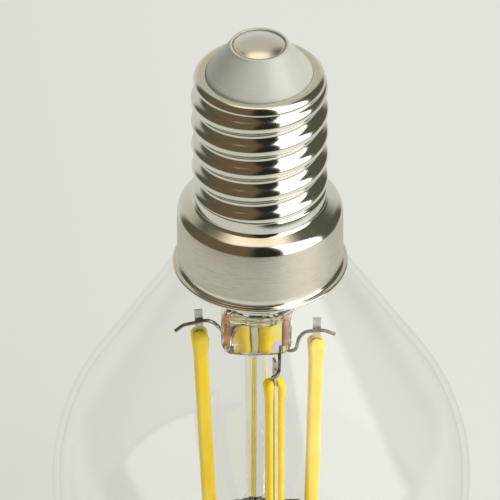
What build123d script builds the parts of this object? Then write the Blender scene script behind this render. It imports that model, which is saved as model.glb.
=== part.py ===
import os
from math import acos, atan2, ceil, cos, hypot, radians, sin, sqrt

from build123d import *

os.makedirs("parts", exist_ok=True)

# The lamp hangs from its cap: the origin is the crown of the centre contact, +Z up, the globe below.
overall_length = 79.2
fit_gap = 0.02

# Screw cap
contact_crown = 0.7
contact_radius = 2.6
shank_radius = 0.95
shank_length = 5.6
eyelet_sheet = 0.12
eyelet_rim = 0.14
eyelet_spread = 0.45
contact_hole = 1.2
insulator_rise = 3.35
collar_width = 0.45
collar_rise = 0.12
cone_foot_radius = 5.1
cone_foot_rise = 0.6
cone_foot_edge = 0.15
cone_hollow = 0.28
plug_depth = 1.9
shell_height = 23.6
shell_sheet = 0.25
opening_radius = 5.46
rim_radius = 6.72
rim_round = 0.77
rim_height = 1.1
thread_radius = 6.93
thread_depth = 0.8
thread_pitch = 2.822
thread_flat = 0.6
thread_start = 4.28
runout_top = 1.4
runout_bottom = 1.7
shoulder_neck_radius = 6.25
shoulder_round = 0.75
shoulder_slope = 0.25
shoulder_blend = 0.38
skirt_radius = 8.64
skirt_round = 0.85
skirt_height = 6.55
lip_flare = 0.5
lip_edge = 0.15
lip_slant = 0.4

# Glass
globe_radius = 22.5
glass_wall = 0.7
neck_radius = 7.9
neck_round = 2.0
lip_gap = 0.35
neck_inset = 1.0
cement_inset = 1.3
flare_drop = 1.0
stem_radius = 4.2
stem_wall = 0.7
press_reach = 12.2
press_width = 7.5
press_thick = 3.4
press_height = 4.4
press_blend = 3.6
press_edge = 0.9
vent_radius = 0.45
vent_drop = 1.0
press_offset = -0.45
exhaust_radius = 1.6
exhaust_bore = 0.95
exhaust_rise = 3.0
column_offset = -0.65
column_radius = 1.05
column_length = 22.4
column_seat = 1.6
head_radius = 1.6
head_height = 2.8
head_edge = 0.8

# Leads and support wires
lead_radius = 0.2
lead_spacing = 5.5
lead_in_press = 3.2
lead_above_press = 5.0
lead_gather = 0.9
lead_solder = 1.2
hook_radius = 0.22
hook_spacing = 0.62
hook_clearance = 0.5
hook_drop = 1.1
hook_approach = 1.4
hook_droop = 0.5
hook_sides = [1, 1, -1, 1]
hook_tips = [2.6, 1.3, 1.9, 1.6]
bridge_height = 1.0
bridge_step = 0.8
bridge_tip = 0.8
bridge_sides = [1, 1, -1, 1]

# Filaments, in the order left, front, right and rear. They are welded by hand, so no two stand alike:
# angles run from +X, radii from the lamp's axis, drops from the cap's edge to the top of the coat.
coat_length = 27.0
coat_width = 1.4
coat_depth = 0.74
coat_edge = 0.35
bulge_width = 1.75
bulge_length = 3.6
strip_thick = 0.4
strip_inset = 0.6
tab_width = 0.85
tab_thick = 0.25
tab_length = 2.6
weld_height = 1.2
filament_names = ["left", "front", "right", "rear"]
top_angles = [188.0, 283.5, 4.8, 96.0]
top_radii = [6.5, 6.17, 5.92, 6.2]
foot_angles = [190.0, 285.5, 5.5, 88.5]
foot_radii = [5.6, 5.3, 5.35, 5.3]
drops = [8.55, 11.25, 10.8, 9.55]

# Driver in the cap
board_width = 8.2
board_height = 9.4
board_thick = 0.8
board_drop = 7.8
board_offset = -1.2
board_round = 0.5
solder_gap = 0.03
rectifier_size = (3.8, 1.4, 3.4)
rectifier_place = (1.5, 3.3)
chip_size = (2.9, 1.1, 1.3)
chip_place = (1.2, 7.5)
pad_width = 0.5
pad_thick = 0.2
pad_reach = 0.7
capacitor_radius = 2.4
capacitor_height = 6.8
capacitor_drop = 0.6
capacitor_edge = 0.4
capacitor_leg_radius = 0.22
capacitor_leg_spacing = 2.0
fuse_radius = 0.95
fuse_height = 4.4
fuse_place = (-2.6, 3.6)
fuse_lead_radius = 0.22
fuse_edge = 0.3
sensor_size = (2.0, 0.55, 1.2)
sensor_place = (-2.3, 7.5)
sensor_pitch = 1.35
neutral_radius = 0.17
neutral_inset = 0.5
neutral_angle = -22.0

# Heights and radii that follow from the sizes
seat_z = -contact_crown
shell_top = seat_z - insulator_rise
shell_bottom = shell_top - shell_height
skirt_top = shell_bottom + skirt_height
shoulder_z = skirt_top + skirt_round
shoulder_inner_z = shoulder_z + shoulder_slope
shoulder_foot_z = shoulder_inner_z + shoulder_round
thread_root = thread_radius - thread_depth
thread_core = thread_root - thread_depth
bore_radius = thread_root - shell_sheet - fit_gap
globe_z = globe_radius - overall_length
neck_top = shoulder_z - shell_sheet - neck_inset
flare_top = neck_top - flare_drop
press_bottom = shell_bottom - press_reach
press_top = press_bottom + press_height
stem_end = press_top + press_blend
lead_end = press_top - lead_in_press
column_end = press_bottom - column_length
board_top = seat_z - board_drop
board_bottom = board_top - board_height
board_front = board_offset - board_thick / 2
board_back = board_offset + board_thick / 2


def half_turn_of_thread(low, high):
    """Half a turn of a screw-shaped bar: flat crests and roots with sloping flanks between them."""
    start = shell_top - thread_start
    below = ceil((start - low) / thread_pitch) + 1
    above = ceil((high - start) / thread_pitch) + 1
    wave = []
    for turn in range(-below, above + 1):
        crest = start + turn * thread_pitch
        root = crest + thread_pitch / 2
        wave += [
            (thread_radius, crest - thread_flat / 2),
            (thread_radius, crest + thread_flat / 2),
            (thread_root, root - thread_flat / 2),
            (thread_root, root + thread_flat / 2),
        ]
    head = wave[-4][1]
    wave = wave[:-3]
    with BuildPart() as half_turn:
        with BuildSketch(Plane.XZ):
            with BuildLine():
                Polyline(*wave, (thread_core, head), (thread_core, wave[0][1]), close=True)
            make_face()
        sweep(path=Helix(pitch=thread_pitch, height=thread_pitch / 2, radius=thread_radius), is_frenet=True)
    return half_turn.part


def screw_form():
    """The threaded stretch, its crests fading out towards the rim and the shoulder."""
    high = shell_top - rim_round
    low = shoulder_foot_z + shoulder_blend
    crest = thread_radius + fit_gap
    half_turn = half_turn_of_thread(low, high)
    with BuildPart() as screw:
        add(half_turn)
        add(half_turn.rotate(Axis.Z, 180).moved(Location((0, 0, thread_pitch / 2))))
        with BuildSketch(Plane.XZ):
            with BuildLine():
                Polyline(
                    (0, high),
                    (rim_radius - fit_gap, high),
                    (crest, high - runout_top),
                    (crest, low + runout_bottom),
                    (shoulder_neck_radius, low),
                    (0, low),
                    close=True,
                )
            make_face()
        revolve(axis=Axis.Z, mode=Mode.INTERSECT)
    return screw.part


# Cap shell: one piece of sheet, rolled to the thread, with a curled rim and a flared lip
lip_radius = skirt_radius + lip_flare
lip_top = shell_bottom + lip_edge + lip_flare
core_radius = thread_root - shell_sheet / 2
rim_foot = shell_top - rim_height
rim_inner = rim_radius - shell_sheet
skirt_inner = skirt_radius - shell_sheet
lip_inner = skirt_inner + lip_flare + lip_edge - shell_sheet * lip_slant
with BuildPart() as cap_shell:
    with BuildSketch(Plane.XZ):
        with BuildLine():
            Line((0, shell_top), (rim_radius - rim_round, shell_top))
            RadiusArc((rim_radius - rim_round, shell_top), (rim_radius, shell_top - rim_round), rim_round)
            Polyline(
                (rim_radius, shell_top - rim_round),
                (rim_radius, rim_foot),
                (core_radius, rim_foot - (rim_radius - core_radius)),
                (core_radius, shoulder_foot_z + shoulder_round),
                (shoulder_neck_radius, shoulder_foot_z + shoulder_blend),
                (shoulder_neck_radius, shoulder_foot_z),
            )
            RadiusArc(
                (shoulder_neck_radius, shoulder_foot_z),
                (shoulder_neck_radius + shoulder_round, shoulder_inner_z),
                -shoulder_round,
            )
            Line(
                (shoulder_neck_radius + shoulder_round, shoulder_inner_z),
                (skirt_radius - skirt_round, shoulder_z),
            )
            RadiusArc((skirt_radius - skirt_round, shoulder_z), (skirt_radius, skirt_top), skirt_round)
            Polyline(
                (skirt_radius, skirt_top),
                (skirt_radius, lip_top),
                (lip_radius, lip_top - lip_flare),
                (lip_radius, shell_bottom),
                (0, shell_bottom),
                (0, shell_top),
            )
        make_face()
    revolve(axis=Axis.Z)
    add(screw_form())
    with BuildSketch(Plane.XZ):
        with BuildLine():
            Polyline(
                (rim_radius - rim_round, shell_top - shell_sheet),
                (opening_radius, shell_top - shell_sheet),
                (opening_radius, shell_top + shell_sheet),
                (0, shell_top + shell_sheet),
                (0, shell_bottom - shell_sheet),
                (lip_inner + shell_sheet, shell_bottom - shell_sheet),
                (skirt_inner, shell_bottom + lip_inner - skirt_inner),
                (skirt_inner, skirt_top),
                (skirt_radius - skirt_round, shoulder_z - shell_sheet),
                (shoulder_neck_radius + shoulder_round, shoulder_inner_z - shell_sheet),
                (bore_radius, shoulder_foot_z),
                (bore_radius, shell_top - rim_round - rim_inner + bore_radius),
                (rim_inner, shell_top - rim_round),
                close=True,
            )
        make_face()
    revolve(axis=Axis.Z, mode=Mode.SUBTRACT)
cap_shell.part.label = "cap_shell"
export_step(cap_shell.part, "parts/cap_shell.step")

# Insulator: a moulded cone that fills the cap's open end, with a collar round the contact
disc_radius = contact_radius + eyelet_rim
collar_radius = disc_radius + fit_gap + collar_width
collar_top = seat_z + collar_rise
plug_foot = shell_top - plug_depth
tube_radius = shank_radius + fit_gap + eyelet_sheet
cone_foot = (cone_foot_radius, shell_top + cone_foot_rise)
cone_middle_radius = (collar_radius + cone_foot[0]) / 2 - cone_hollow
cone_middle = (cone_middle_radius, (collar_top + cone_foot[1]) / 2 - cone_hollow)
with BuildPart() as cap_insulator:
    with BuildSketch(Plane.XZ):
        with BuildLine():
            Line((disc_radius + fit_gap, collar_top), (collar_radius, collar_top))
            ThreePointArc((collar_radius, collar_top), cone_middle, cone_foot)
            Polyline(
                cone_foot,
                (opening_radius - fit_gap, shell_top + cone_foot_edge),
                (opening_radius - fit_gap, shell_top - shell_sheet - fit_gap),
                (rim_radius - rim_round, shell_top - shell_sheet - fit_gap),
                (rim_radius - rim_round, shell_top - rim_round),
                (bore_radius - fit_gap, shell_top - rim_height),
                (bore_radius - fit_gap, plug_foot),
                (tube_radius + fit_gap, plug_foot),
                (tube_radius + fit_gap, seat_z - eyelet_sheet - fit_gap),
                (disc_radius + fit_gap, seat_z - eyelet_sheet - fit_gap),
                (disc_radius + fit_gap, collar_top),
            )
        make_face()
    revolve(axis=Axis.Z)
cap_insulator.part.label = "cap_insulator"
export_step(cap_insulator.part, "parts/cap_insulator.step")

# Eyelet: a brass ring under the contact's head, its tube spread below the insulator
with BuildPart() as contact_eyelet:
    with BuildSketch(Plane.XZ):
        with BuildLine():
            Polyline(
                (shank_radius + fit_gap, seat_z),
                (disc_radius, seat_z),
                (disc_radius, seat_z - eyelet_sheet),
                (tube_radius, seat_z - eyelet_sheet),
                (tube_radius, plug_foot - fit_gap),
                (tube_radius + eyelet_spread, plug_foot - fit_gap),
                (tube_radius + eyelet_spread, plug_foot - fit_gap - eyelet_sheet),
                (shank_radius + fit_gap, plug_foot - fit_gap - eyelet_sheet),
                close=True,
            )
        make_face()
    revolve(axis=Axis.Z)
contact_eyelet.part.label = "contact_eyelet"
export_step(contact_eyelet.part, "parts/contact_eyelet.step")

# Centre contact: a domed pin with a hole in its foot for the live lead
shank_foot = seat_z - shank_length
dome_radius = (contact_radius**2 + contact_crown**2) / (2 * contact_crown)
with BuildPart() as centre_contact:
    with BuildSketch(Plane.XZ):
        with BuildLine():
            RadiusArc((0, 0), (contact_radius, seat_z), dome_radius)
            Polyline(
                (contact_radius, seat_z),
                (shank_radius, seat_z),
                (shank_radius, shank_foot),
                (fuse_lead_radius + fit_gap, shank_foot),
                (fuse_lead_radius + fit_gap, shank_foot + contact_hole),
                (0, shank_foot + contact_hole),
                (0, 0),
            )
        make_face()
    revolve(axis=Axis.Z)
centre_contact.part.label = "centre_contact"
export_step(centre_contact.part, "parts/centre_contact.step")

# Envelope: a blown globe whose straight cone runs up to the cap and turns into the neck, clear of the lip.
# The cone touches both the globe and the neck's round, so its slope follows from the two.
round_place = neck_radius + neck_round
neck_foot = shell_bottom + sqrt(neck_round**2 - (round_place - lip_inner + lip_gap) ** 2)
neck_rise = neck_foot - globe_z
slope = atan2(neck_rise, round_place) - acos((globe_radius + neck_round) / hypot(neck_rise, round_place))


def globe_outline(inset):
    """The envelope's line from the neck's edge to the pole, inset from its outer face."""
    globe = globe_radius - inset
    bend = neck_round + inset
    neck = neck_radius - inset
    bend_end = (neck + bend * (1 - cos(slope)), neck_foot - bend * sin(slope))
    globe_start = (globe * cos(slope), globe_z + globe * sin(slope))
    Line((neck, neck_top), (neck, neck_foot))
    RadiusArc((neck, neck_foot), bend_end, -bend)
    Line(bend_end, globe_start)
    globe_side = (globe * cos(slope / 2), globe_z - globe * sin(slope / 2))
    ThreePointArc(globe_start, globe_side, (0, globe_z - globe))


with BuildPart() as glass_envelope:
    with BuildSketch(Plane.XZ):
        with BuildLine():
            globe_outline(0)
            globe_outline(glass_wall)
            Line((neck_radius, neck_top), (neck_radius - glass_wall, neck_top))
            Line((0, globe_z - globe_radius), (0, globe_z - globe_radius + glass_wall))
        make_face()
    revolve(axis=Axis.Z)
glass_envelope.part.label = "glass_envelope"
export_step(glass_envelope.part, "parts/glass_envelope.step")

# Cement: the ring that holds the neck in the skirt
cement_top = neck_top - cement_inset
with BuildPart() as capping_cement:
    with BuildSketch(Plane.XY.offset(neck_foot)):
        Circle(skirt_inner - fit_gap)
        Circle(neck_radius + fit_gap, mode=Mode.SUBTRACT)
    extrude(amount=cement_top - neck_foot)
capping_cement.part.label = "capping_cement"
export_step(capping_cement.part, "parts/capping_cement.step")

# Stem: a flared tube sealed into the neck, pinched flat round the leads
flare_radius = neck_radius - glass_wall - fit_gap
flare_round = flare_radius - stem_radius
flare_foot = flare_top - flare_round
lead_places = [(press_offset - lead_spacing / 2, 0), (press_offset + lead_spacing / 2, 0)]
lead_top = press_top + lead_above_press
press_middle = (press_offset, 0)
left_lead, right_lead = lead_places[0][0], lead_places[1][0]
hook_places = [
    (left_lead - hook_spacing / 2, 0),
    (right_lead - hook_spacing / 2, 0),
    (right_lead + hook_spacing / 2, 0),
    (left_lead + hook_spacing / 2, 0),
]
with BuildPart() as stem:
    with BuildSketch(Plane.XZ):
        with BuildLine():
            Polyline(
                (stem_radius, flare_foot),
                (flare_radius, flare_top),
                (flare_radius, flare_top + stem_wall),
                (stem_radius - stem_wall, flare_foot + stem_wall),
                (stem_radius - stem_wall, stem_end),
                (stem_radius, stem_end),
                close=True,
            )
        make_face()
    revolve(axis=Axis.Z)
    with BuildSketch(Plane.XY.offset(stem_end)):
        Circle(stem_radius)
    with BuildSketch(Plane.XY.offset(press_top)):
        with Locations(press_middle):
            SlotOverall(press_width, press_thick)
    loft()
    with BuildSketch(Plane.XY.offset(press_bottom)):
        with Locations(press_middle):
            SlotOverall(press_width, press_thick)
    extrude(amount=press_height)
    chamfer(stem.edges().group_by(Axis.Z)[0], length=press_edge)
    with BuildSketch(Plane.XY.offset(lead_end)):
        with Locations(*lead_places):
            Circle(lead_radius + fit_gap)
    extrude(amount=lead_top - lead_end, mode=Mode.SUBTRACT)
    with BuildSketch(Plane.XY.offset(lead_end)):
        with Locations(*hook_places):
            Circle(hook_radius + fit_gap)
    extrude(amount=press_bottom - lead_end, mode=Mode.SUBTRACT)
    with BuildSketch(Plane.XY.offset(press_bottom)):
        with Locations((column_offset, 0)):
            Circle(column_radius + fit_gap)
    extrude(amount=column_seat, mode=Mode.SUBTRACT)
    with BuildSketch(Plane.XY.offset(press_top)):
        Circle(exhaust_radius + fit_gap)
    extrude(amount=press_blend, mode=Mode.SUBTRACT)
    with BuildSketch(Plane.XY.offset(press_top - vent_drop)):
        Circle(exhaust_bore)
    extrude(amount=vent_drop, mode=Mode.SUBTRACT)
    with BuildSketch(Plane.XZ):
        with Locations((0, press_top - vent_drop)):
            Circle(vent_radius)
    extrude(amount=-press_thick, mode=Mode.SUBTRACT)
stem.part.label = "stem"
export_step(stem.part, "parts/stem.step")

# Exhaust tube: it stands on the press and was melted shut after pumping
exhaust_top = flare_top + exhaust_rise
with BuildPart() as exhaust_tube:
    with BuildSketch(Plane.XY.offset(press_top)):
        Circle(exhaust_radius)
    extrude(amount=exhaust_top - press_top)
    chamfer(exhaust_tube.edges().group_by(Axis.Z)[-1], length=exhaust_bore)
    with BuildSketch(Plane.XY.offset(press_top)):
        Circle(exhaust_bore)
    extrude(amount=exhaust_top - press_top - exhaust_radius, mode=Mode.SUBTRACT)
exhaust_tube.part.label = "exhaust_tube"
export_step(exhaust_tube.part, "parts/exhaust_tube.step")

# Column: a glass rod from the press to the bead that holds the lower wires
bridge_levels = [column_end + bridge_height + bridge_step, column_end + bridge_height]
with BuildPart() as support_column:
    with BuildSketch(Plane.XY.offset(column_end)):
        with Locations((column_offset, 0)):
            Circle(head_radius)
    extrude(amount=head_height)
    chamfer(support_column.edges().filter_by(GeomType.CIRCLE), length=head_edge)
    with BuildSketch(Plane.XY.offset(column_end + head_height / 2)):
        with Locations((column_offset, 0)):
            Circle(column_radius)
    extrude(amount=press_bottom + column_seat - column_end - head_height / 2)
    with BuildSketch(Plane.YZ):
        with Locations((0, bridge_levels[0])):
            Circle(hook_radius + fit_gap)
    extrude(amount=2 * head_radius - column_offset, both=True, mode=Mode.SUBTRACT)
    with BuildSketch(Plane.XZ):
        with Locations((column_offset, bridge_levels[1])):
            Circle(hook_radius + fit_gap)
    extrude(amount=2 * head_radius, both=True, mode=Mode.SUBTRACT)
support_column.part.label = "support_column"
export_step(support_column.part, "parts/support_column.step")


def bent_wire(points, radius):
    """A round wire bent along the points."""
    with BuildPart() as wire:
        with BuildLine() as path:
            Polyline(*points)
        with BuildSketch(Plane(origin=path.line @ 0, z_dir=path.line % 0)):
            Circle(radius)
        sweep(transition=Transition.RIGHT)
    return wire.part


def around_axis(radius, angle, height):
    """The point at a radius and an angle round the lamp's axis."""
    return Vector(radius * cos(radians(angle)), radius * sin(radians(angle)), height)


# Leads: copper-clad through the press, then copper up to the driver board
for side, (lead_x, lead_y) in zip(["left", "right"], lead_places):
    with BuildPart() as lead_in:
        with BuildSketch(Plane.XY.offset(lead_end)):
            with Locations((lead_x, lead_y)):
                Circle(lead_radius)
        extrude(amount=lead_top - lead_end)
    lead_in.part.label = "lead_in_" + side
    export_step(lead_in.part, "parts/lead_in_" + side + ".step")

    solder_y = board_back + solder_gap + lead_radius
    lead_points = [
        (lead_x, lead_y, lead_top),
        (lead_x, lead_y, flare_top),
        (lead_x * lead_gather, solder_y, board_bottom - lead_radius),
        (lead_x * lead_gather, solder_y, board_bottom + lead_solder),
    ]
    outer_lead = bent_wire(lead_points, lead_radius)
    outer_lead.label = "outer_lead_" + side
    export_step(outer_lead, "parts/outer_lead_" + side + ".step")

# Filaments: a strip with a bead of phosphor on each face and a metal tab at each end
coat_half = coat_width / 2
filament_planes = []
for name, top_angle, top_radius, foot_angle, foot_radius, drop in zip(
    filament_names, top_angles, top_radii, foot_angles, foot_radii, drops
):
    top = around_axis(top_radius, top_angle, shell_bottom - drop)
    foot = around_axis(foot_radius, foot_angle, shell_bottom - drop - coat_length)
    outward = around_axis(1, (top_angle + foot_angle) / 2, 0)
    axis = (top - foot).normalized()
    across = axis.cross(outward).normalized()
    frame = Plane(origin=top, x_dir=across.cross(axis), z_dir=axis)
    filament_planes.append(frame)

    with BuildPart(frame) as strip:
        with Locations((0, 0, -strip_inset)):
            Box(
                coat_width,
                strip_thick,
                coat_length - 2 * strip_inset,
                align=(Align.CENTER, Align.CENTER, Align.MAX),
            )
    strip.part.label = "filament_" + name + "_strip"
    export_step(strip.part, "parts/filament_" + name + "_strip.step")

    for end, place, reach in [("top", -strip_inset, 1), ("foot", strip_inset - coat_length, -1)]:
        with BuildPart(frame) as tab:
            with Locations((0, 0, place + reach * (strip_inset + tab_length) / 2)):
                Box(tab_width, tab_thick, strip_inset + tab_length)
        tab.part.label = "filament_" + name + "_" + end + "_tab"
        export_step(tab.part, "parts/filament_" + name + "_" + end + "_tab.step")

    for bead_name, side in [("a", 1), ("b", -1)]:
        outward_face = frame.y_dir * side
        face_centre = frame.from_local_coords((0, side * strip_thick / 2, 0))
        with BuildPart() as bead:
            with BuildSketch(Plane(origin=face_centre, x_dir=frame.z_dir, z_dir=outward_face)):
                with BuildLine():
                    RadiusArc((-coat_length, 0), (coat_half - coat_length, coat_half), coat_half)
                    Polyline(
                        (coat_half - coat_length, coat_half),
                        (-bulge_length, coat_half),
                        (-bulge_width / 2, bulge_width / 2),
                    )
                    RadiusArc((-bulge_width / 2, bulge_width / 2), (0, 0), bulge_width / 2)
                    mirror(about=Plane.XZ)
                make_face()
            extrude(amount=coat_depth)
            outer_face = bead.faces().sort_by(Axis(face_centre, outward_face))[-1]
            chamfer(outer_face.edges(), length=coat_edge)
        bead.part.label = "filament_" + name + "_coat_" + bead_name
        export_step(bead.part, "parts/filament_" + name + "_coat_" + bead_name + ".step")

# Support wires: each leaves the press beside a lead and crosses the face of one top tab
tab_face = tab_thick / 2 + hook_radius
back_y = press_thick / 2 + hook_clearance
side_x = press_offset + press_width / 2 + hook_clearance
hook_foot = press_bottom - hook_drop
hook_ways = [
    [(press_offset - press_width / 2, back_y, press_bottom)],
    [],
    [(side_x, 0, press_bottom + hook_clearance)],
    [(hook_places[3][0], back_y, press_bottom)],
]
for name, frame, (hook_x, hook_y), way, side, tip in zip(
    filament_names, filament_planes, hook_places, hook_ways, hook_sides, hook_tips
):
    face_y = side * tab_face
    hook_points = [
        (hook_x, hook_y, lead_end),
        (hook_x, hook_y, hook_foot),
        *way,
        frame.from_local_coords((-hook_approach, face_y, weld_height)),
        frame.from_local_coords((tab_width, face_y, weld_height)),
        frame.from_local_coords((tip, face_y, weld_height - hook_droop)),
    ]
    hook = bent_wire(hook_points, hook_radius)
    hook.label = "hook_wire_" + name
    export_step(hook, "parts/hook_wire_" + name + ".step")

# Bridge wires: they run straight through the bead, then down inside the filaments to the foot tabs
bridge_inner = coat_width / 2 + hook_radius + hook_clearance
bridge_exit = head_radius + hook_clearance
for name, ends, exits, level in [
    ("side", [0, 2], [(-bridge_exit, 0), (bridge_exit, 0)], bridge_levels[0]),
    ("front", [1, 3], [(0, -bridge_exit), (0, bridge_exit)], bridge_levels[1]),
]:
    legs = []
    for end, (exit_x, exit_y) in zip(ends, exits):
        frame = filament_planes[end]
        face_y = bridge_sides[end] * tab_face
        weld_z = -coat_length - weld_height
        corner = frame.from_local_coords((-bridge_inner, face_y, weld_z))
        legs.append([
            frame.from_local_coords((bridge_tip, face_y, weld_z)),
            corner,
            (corner.X, corner.Y, level),
            (column_offset + exit_x, exit_y, level),
        ])
    bridge = bent_wire([*legs[0], *reversed(legs[1])], hook_radius)
    bridge.label = "bridge_wire_" + name
    export_step(bridge, "parts/bridge_wire_" + name + ".step")

# Driver board, drilled for the live lead
fuse_x, fuse_drop = fuse_place
fuse_y = board_front - solder_gap - fuse_radius
fuse_z = board_top - fuse_drop
fuse_hole_z = fuse_z - fuse_height / 2 - pad_reach
with BuildPart() as driver_board:
    with BuildSketch(Plane.XZ.offset(-board_back)):
        with Locations((0, (board_top + board_bottom) / 2)):
            RectangleRounded(board_width, board_height, board_round)
        with Locations((fuse_x, fuse_hole_z)):
            Circle(fuse_lead_radius + fit_gap, mode=Mode.SUBTRACT)
    extrude(amount=board_thick)
driver_board.part.label = "driver_board"
export_step(driver_board.part, "parts/driver_board.step")


def flat_package(size, place, legs):
    """A chip's body on the board's front, its flat legs passing out above and below."""
    width, depth, height = size
    across, drop = place
    pad_y = board_front - solder_gap - pad_thick / 2
    body_y = board_front - solder_gap - pad_thick - depth / 2
    centre_z = board_top - drop
    with BuildPart() as package:
        with Locations((across, body_y, centre_z)):
            Box(width, depth, height)
        with Locations((across, pad_y, centre_z)):
            with GridLocations((width - pad_width) / (legs - 1), 1, legs, 1):
                Box(pad_width, pad_thick, height + 2 * pad_reach)
    return package.part


bridge_rectifier = flat_package(rectifier_size, rectifier_place, 2)
bridge_rectifier.label = "bridge_rectifier"
export_step(bridge_rectifier, "parts/bridge_rectifier.step")

driver_chip = flat_package(chip_size, chip_place, 3)
driver_chip.label = "driver_chip"
export_step(driver_chip, "parts/driver_chip.step")

# Sense resistors: a pair of chips below the fuse
with BuildPart() as sense_resistors:
    sensor_width, sensor_depth, sensor_height = sensor_size
    for turn in range(2):
        sensor_z = board_top - sensor_place[1] - turn * sensor_pitch
        with Locations((sensor_place[0], board_front - solder_gap - sensor_depth / 2, sensor_z)):
            Box(sensor_width, sensor_depth, sensor_height)
sense_resistors.part.label = "sense_resistors"
export_step(sense_resistors.part, "parts/sense_resistors.step")

# Smoothing capacitor: a can lying along the board's back, its two legs bent into the board's face
capacitor_y = board_back + solder_gap + capacitor_radius
capacitor_top = board_top - capacitor_drop
capacitor_foot = capacitor_top - capacitor_height
with BuildPart() as smoothing_capacitor:
    with BuildSketch(Plane.XY.offset(capacitor_foot)):
        with Locations((0, capacitor_y)):
            Circle(capacitor_radius)
    extrude(amount=capacitor_height)
    chamfer(smoothing_capacitor.edges().filter_by(GeomType.CIRCLE), length=capacitor_edge)
    for side in [-1, 1]:
        leg_x = side * capacitor_leg_spacing / 2
        leg_z = capacitor_foot - pad_reach
        leg_points = [
            (leg_x, capacitor_y, capacitor_foot),
            (leg_x, capacitor_y, leg_z),
            (leg_x, board_back + solder_gap, leg_z),
        ]
        add(bent_wire(leg_points, capacitor_leg_radius))
smoothing_capacitor.part.label = "smoothing_capacitor"
export_step(smoothing_capacitor.part, "parts/smoothing_capacitor.step")

# Fuse resistor: it is also the live lead, from the contact's foot to the board
with BuildPart() as fuse_resistor:
    with BuildSketch(Plane.XY.offset(fuse_z - fuse_height / 2)):
        with Locations((fuse_x, fuse_y)):
            Circle(fuse_radius)
    extrude(amount=fuse_height)
    chamfer(fuse_resistor.edges().filter_by(GeomType.CIRCLE), length=fuse_edge)
    live_points = [
        (0, 0, shank_foot + contact_hole),
        (0, 0, shank_foot - pad_reach),
        (fuse_x, fuse_y, board_top + pad_reach),
        (fuse_x, fuse_y, fuse_z + fuse_height / 2 - fuse_edge),
    ]
    board_points = [
        (fuse_x, fuse_y, fuse_z - fuse_height / 2 + fuse_edge),
        (fuse_x, fuse_y, fuse_hole_z),
        (fuse_x, board_back, fuse_hole_z),
    ]
    add(bent_wire(live_points, fuse_lead_radius))
    add(bent_wire(board_points, fuse_lead_radius))
fuse_resistor.part.label = "fuse_resistor"
export_step(fuse_resistor.part, "parts/fuse_resistor.step")

# Neutral wire: from the board over the neck's edge, trapped against the inside of the skirt
neutral_y = board_front - solder_gap - neutral_radius
neutral_x = board_width / 2 - neutral_inset
trap_radius = (skirt_inner + neck_radius) / 2
over_neck_z = neck_top + 2 * neutral_radius
neutral_points = [
    (neutral_x, neutral_y, board_bottom + lead_solder),
    (neutral_x, neutral_y, over_neck_z),
    around_axis(trap_radius, neutral_angle, over_neck_z),
    around_axis(trap_radius, neutral_angle, cement_top + fit_gap),
]
neutral_wire = bent_wire(neutral_points, neutral_radius)
neutral_wire.label = "neutral_wire"
export_step(neutral_wire, "parts/neutral_wire.step")
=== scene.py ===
import math

import bpy
from mathutils import Matrix, Vector


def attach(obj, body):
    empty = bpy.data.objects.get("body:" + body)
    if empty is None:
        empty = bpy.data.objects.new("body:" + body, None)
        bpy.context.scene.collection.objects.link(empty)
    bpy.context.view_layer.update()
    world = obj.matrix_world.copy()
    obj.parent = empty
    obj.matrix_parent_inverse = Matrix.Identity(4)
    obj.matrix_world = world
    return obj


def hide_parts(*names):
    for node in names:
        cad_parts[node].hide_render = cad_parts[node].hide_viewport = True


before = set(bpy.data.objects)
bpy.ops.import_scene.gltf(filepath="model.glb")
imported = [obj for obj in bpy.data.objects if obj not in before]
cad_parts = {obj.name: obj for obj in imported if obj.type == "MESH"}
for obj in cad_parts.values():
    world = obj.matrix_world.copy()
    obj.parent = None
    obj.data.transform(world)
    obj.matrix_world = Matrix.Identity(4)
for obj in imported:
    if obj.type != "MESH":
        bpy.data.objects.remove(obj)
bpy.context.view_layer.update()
print("frame loaded,", len(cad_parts), "nodes")

scene = bpy.context.scene
scene.view_settings.view_transform = "Standard"
mm = 0.001


class Signal:
    # one output socket, so that sums on it read as sums
    def __init__(self, board, socket):
        self.board = board
        self.socket = socket

    def math(self, operation, *others):
        return self.board.node("ShaderNodeMath", {"operation": operation}, dict(enumerate((self, *others))))

    def __add__(self, other):
        return self.math("ADD", other)

    def __mul__(self, other):
        return self.math("MULTIPLY", other)

    def __sub__(self, other):
        return self.math("SUBTRACT", other)

    def __rsub__(self, other):
        return self.board.node("ShaderNodeMath", {"operation": "SUBTRACT"}, {0: other, 1: self})

    def __truediv__(self, other):
        return self.math("DIVIDE", other)

    def __pow__(self, other):
        return self.math("POWER", other)


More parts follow.
